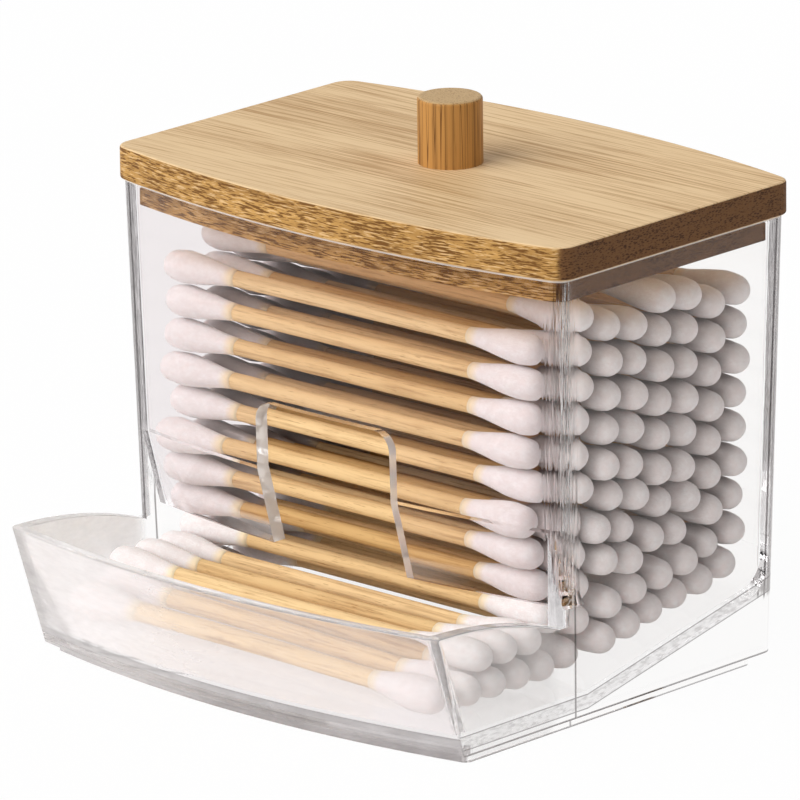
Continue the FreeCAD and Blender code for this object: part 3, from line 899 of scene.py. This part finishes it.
def wind_head(shape, settings, corners, tip_side, tips, chance):
    """Adds one wound head, with its tip towards tip_side, in the room between the corners."""
    low, high = corners
    radius = (high.z - low.z) / 2 * 0.995
    tip = head_tip(corners, tip_side)
    rings = head_rings(settings, high.x - low.x, radius, chance)
    offset = Vector((chance.uniform(0, 90), chance.uniform(0, 90), chance.uniform(0, 90)))
    head = Head(tip, tip_side, radius, rings, offset, crowded_by(tip, tips, 2 * radius))
    wound = [wind_ring(shape, settings, head, *ring) for ring in rings]
    nose = shape.verts.new(tip - Vector((tip_side * settings.lump_depth * 0.3, 0, 0)))
    nose[shape.verts.layers.float[COVER]] = 1.0
    inside = []
    for spoke in range(SPOKES):
        at = tip + outward_at(spoke) * 0.9 * settings.stick_width / 2
        at.x = wound[-1][spoke].co.x
        inside.append(shape.verts.new(at))
    wound.append(inside)
    for spoke in range(SPOKES):
        after = (spoke + 1) % SPOKES
        add_face(shape, (nose, wound[0][spoke], wound[0][after]), tip_side)
        for ring, beyond in zip(wound, wound[1:]):
            add_face(shape, (ring[spoke], beyond[spoke], beyond[after], ring[after]), tip_side)
    for wisp in range(settings.wisps):
        ring = wound[chance.randrange(2, len(rings) - 3)]
        add_wisp(shape, ring[chance.randrange(SPOKES)].co, tip, chance)


def add_face(shape, corners, tip_side):
    shape.faces.new(corners if tip_side > 0 else tuple(reversed(corners))).smooth = True


def add_wisp(shape, root, tip, chance):
    """One loose fibre that leaves the cotton at root and curls back along it."""
    outward = Vector((0, root.y - tip.y, root.z - tip.z)).normalized()
    side = Vector((1, 0, 0)).cross(outward)
    lean = Vector((chance.uniform(-1, 1), 0, 0)) + side * chance.uniform(-1, 1)
    length = chance.uniform(0.5, 1.3) * MILLIMETRE
    flat = lean.cross(outward).normalized() * FIBRE
    lift = 0.16 * length
    rooted = 0.03 * MILLIMETRE
    curl = 2.4
    points = []
    for step in range(4):
        share = step / 3
        rise = outward * (math.sin(share * curl) * lift - rooted)
        points.append(root + lean * (length * share * 0.7) + rise)
    sides = []
    for step, at in enumerate(points):
        half = flat * (1 - 0.25 * step)
        sides.append((shape.verts.new(at - half), shape.verts.new(at + half)))
    for pair in sides:
        for vertex in pair:
            vertex[shape.verts.layers.float[COVER]] = 1.0
    for (left, right), (far_left, far_right) in zip(sides, sides[1:]):
        shape.faces.new((left, right, far_right, far_left)).smooth = True


def head_node(side, row):
    return "swab_heads_%s_row_%s" % (side, row)


def build_heads(settings, row, side, ends, tips, finish):
    """The wound cotton heads at one end of one row of swabs."""
    tip_side = 1 if side == "right" else -1
    chance = random.Random("%s %s" % (side, row))
    shape = bmesh.new()
    shape.verts.layers.float.new(COVER)
    shape.verts.layers.float.new(NOOK_SHADE)
    for corners in ends:
        wind_head(shape, settings, corners, tip_side, tips, chance)
    mesh = bpy.data.meshes.new("cotton_heads_%s_row_%s" % (side, row))
    shape.to_mesh(mesh)
    shape.free()
    mesh.materials.append(finish)
    heads = bpy.data.objects.new(mesh.name, mesh)
    bpy.context.scene.collection.objects.link(heads)
    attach(heads, "box")
    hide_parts(head_node(side, row))


class SWABBOX_OT_cotton_heads(bpy.types.Operator):
    """Wind the cotton heads at both ends of every row of swabs"""

    bl_idname = "swab_box.cotton_heads"
    bl_label = "Cotton Heads"

    def execute(self, context):
        settings = context.scene.swab_box_cotton
        finish = cotton_finish(settings)
        for side, tip_side in (("left", -1), ("right", 1)):
            ends = {row: swab_ends(head_node(side, row)) for row in SWAB_ROWS}
            tips = [head_tip(corners, tip_side) for row in SWAB_ROWS for corners in ends[row]]
            for row in SWAB_ROWS:
                build_heads(settings, row, side, ends[row], tips, finish)
        return {"FINISHED"}


# ---- stage ----

WHITE = (1.0, 1.0, 1.0)

# Where each lamp stands, as azimuth and elevation, and how wide its light is, all in degrees.
KEY_LAMP = (-18, 36, 60)
SIDE_LAMP = (75, 25, 40)

# How often light may pass or be mirrored by the box's many clear walls.
CLEAR_BOUNCES = 32
MIRROR_BOUNCES = 20


class StageSettings(bpy.types.PropertyGroup):
    azimuth: FloatProperty(
        name="Azimuth", description="How far round to the right the camera stands",
        default=math.radians(43.097), subtype="ANGLE", unit="ROTATION",
    )
    elevation: FloatProperty(
        name="Elevation", description="How far up the camera stands",
        default=math.radians(16.341), subtype="ANGLE", unit="ROTATION",
    )
    roll: FloatProperty(
        name="Roll", description="How far the camera leans to its side",
        default=math.radians(-0.684), subtype="ANGLE", unit="ROTATION",
    )
    distance: length_property("Distance", "From the camera to what it looks at", 1613.52)
    target: FloatVectorProperty(
        name="Target", description="The point that the camera looks at",
        default=(-0.00585, 0.00704, 0.0368), subtype="TRANSLATION", unit="LENGTH",
    )
    lens: FloatProperty(
        name="Lens", description="Focal length in millimetres", default=494.7, min=20, max=800
    )
    sky_light: FloatProperty(
        name="Sky light", description="Strength of the soft light from all round", default=0.58, min=0
    )
    key_light: FloatProperty(
        name="Key light", description="Strength of the soft light from the front left",
        default=2.3, min=0,
    )
    side_light: FloatProperty(
        name="Side light", description="Strength of the weak light from the right",
        default=0.04, min=0,
    )
    floor_tone: colour_property("Floor", "Colour of the floor", tone(252, 251, 250))
    floor_white: share_property("Floor white", "How far the floor is seen as plain white", 0.96)
    sky_dim: colour_property("Dim sky", "Colour of the soft light from the right", (0.6, 0.6, 0.6))
    ceiling: colour_property("Ceiling", "Colour seen overhead in gloss and plastic", (0.6, 0.59, 0.585))


def look_matrix(place, target, roll=0.0):
    """Stands a camera or lamp at place, looking at target and leaning by roll."""
    away = (place - target).normalized()
    right = Vector((0, 0, 1)).cross(away).normalized()
    up = away.cross(right)
    leaning_right = right * math.cos(roll) + up * math.sin(roll)
    leaning_up = up * math.cos(roll) - right * math.sin(roll)
    turned = Matrix((leaning_right, leaning_up, away)).transposed().to_4x4()
    return Matrix.Translation(place) @ turned


def towards(azimuth, elevation):
    """The way from the box to something that stands round to the right and up, by these angles."""
    level = math.cos(elevation)
    return Vector((math.sin(azimuth) * level, -math.cos(azimuth) * level, math.sin(elevation)))


def build_camera(settings):
    sight = bpy.data.cameras.new("camera")
    sight.lens = settings.lens
    sight.sensor_width = 36
    sight.clip_start = 0.05
    target = Vector(settings.target)
    place = target + towards(settings.azimuth, settings.elevation) * settings.distance
    camera = bpy.data.objects.new("camera", sight)
    camera.matrix_world = look_matrix(place, target, settings.roll)
    bpy.context.scene.collection.objects.link(camera)
    bpy.context.scene.camera = camera


def build_lamp(name, strength, azimuth, elevation, spread):
    """A soft even light from far off, its angles in degrees."""
    light = bpy.data.lights.new(name, "SUN")
    light.energy = strength
    light.angle = math.radians(spread)
    lamp = bpy.data.objects.new(name, light)
    middle = (Vector(CAD_BOX[0]) + Vector(CAD_BOX[1])) / 2
    place = middle + towards(math.radians(azimuth), math.radians(elevation))
    lamp.matrix_world = look_matrix(place, middle)
    bpy.context.scene.collection.objects.link(lamp)


def build_floor(settings):
    """A plain pale floor: white where it is lit, with the box's soft shadow."""
    mesh = bpy.data.meshes.new("floor")
    reach = 6.0
    level = CAD_BOX[0][2] - 0.1 * MILLIMETRE
    corners = [(-reach, -reach, level), (reach, -reach, level), (reach, reach, level), (-reach, reach, level)]
    mesh.from_pydata(corners, [], [(0, 1, 2, 3)])
    work = new_finish("pale floor")
    paper = work.node("BsdfDiffuse", values={"Color": opaque(settings.floor_tone)})
    glow = work.node("Emission", values={"Color": opaque(WHITE), "Strength": 1.0})
    surface = work.node("MixShader", values={0: settings.floor_white * work.seen_ray(), 1: paper, 2: glow})
    mesh.materials.append(work.finished(surface))
    floor = bpy.data.objects.new("floor", mesh)
    bpy.context.scene.collection.objects.link(floor)


def build_surroundings(settings):
    """White to look at, grey overhead in gloss, and soft light that is dimmer at the right."""
    world = bpy.data.worlds.new("studio")
    bpy.context.scene.world = world
    work = NodeWork(world)
    path = work.node("LightPath", result="Is Camera Ray")
    direction = work.node("TexCoord", result="Generated")
    height = work.node("SeparateXYZ", values={0: direction}, result="Z")
    sky = work.blended(work.spread(height.also("X"), -0.7, 0.8), WHITE, settings.sky_dim)
    light = work.node("Background", values={"Color": sky, "Strength": settings.sky_light})
    backdrop = work.node("Background", values={"Color": opaque(WHITE), "Strength": 1.0})
    ceiling = work.blended(work.spread(height, 0.2, 0.75), WHITE, settings.ceiling)
    mirrored = work.node("Background", values={"Color": ceiling, "Strength": 1.0})
    gloss = work.larger(path.also("Is Glossy Ray"), path.also("Is Transmission Ray"))
    surface = work.node("MixShader", values={0: gloss, 1: light, 2: mirrored})
    surface = work.node("MixShader", values={0: path, 1: surface, 2: backdrop})
    work.finished(surface, kind="OutputWorld")


class SWABBOX_OT_stage(bpy.types.Operator):
    """Set up the floor, the surroundings, the lamps and the camera"""

    bl_idname = "swab_box.stage"
    bl_label = "Stage"

    def execute(self, context):
        scene = context.scene
        settings = scene.swab_box_stage
        scene.view_settings.view_transform = "Standard"
        scene.cycles.max_bounces = CLEAR_BOUNCES
        scene.cycles.glossy_bounces = MIRROR_BOUNCES
        scene.cycles.transmission_bounces = CLEAR_BOUNCES
        scene.cycles.transparent_max_bounces = CLEAR_BOUNCES
        build_camera(settings)
        build_floor(settings)
        build_surroundings(settings)
        build_lamp("key_light", settings.key_light, *KEY_LAMP)
        build_lamp("side_light", settings.side_light, *SIDE_LAMP)
        return {"FINISHED"}


# ---- panel and registering ----

GROUPS = (
    ("swab_box_clear", ClearBoxSettings, SWABBOX_OT_clear_box),
    ("swab_box_lid", LidSettings, SWABBOX_OT_lid_board),
    ("swab_box_knob", KnobSettings, SWABBOX_OT_lid_knob),
    ("swab_box_sticks", StickSettings, SWABBOX_OT_swab_sticks),
    ("swab_box_cotton", CottonSettings, SWABBOX_OT_cotton_heads),
    ("swab_box_stage", StageSettings, SWABBOX_OT_stage),
)


class SWABBOX_PT_panel(bpy.types.Panel):
    """The pieces of the swab box, each with its settings"""

    bl_idname = "SWABBOX_PT_panel"
    bl_label = "Swab Box"
    bl_space_type = "VIEW_3D"
    bl_region_type = "UI"
    bl_category = "Swab Box"

    def draw(self, context):
        for name, group, operator in GROUPS:
            box = self.layout.box()
            box.operator(operator.bl_idname)
            settings = getattr(context.scene, name)
            for setting in group.__annotations__:
                box.prop(settings, setting)


def register():
    for name, group, operator in GROUPS:
        bpy.utils.register_class(group)
        bpy.utils.register_class(operator)
        setattr(bpy.types.Scene, name, PointerProperty(type=group))
    bpy.utils.register_class(SWABBOX_PT_panel)


def unregister():
    bpy.utils.unregister_class(SWABBOX_PT_panel)
    for name, group, operator in reversed(GROUPS):
        delattr(bpy.types.Scene, name)
        bpy.utils.unregister_class(operator)
        bpy.utils.unregister_class(group)


def main():
    register()
    bpy.ops.swab_box.clear_box()
    bpy.ops.swab_box.lid_board()
    bpy.ops.swab_box.lid_knob()
    bpy.ops.swab_box.swab_sticks()
    bpy.ops.swab_box.cotton_heads()
    bpy.ops.swab_box.stage()


if __name__ == "__main__":
    main()
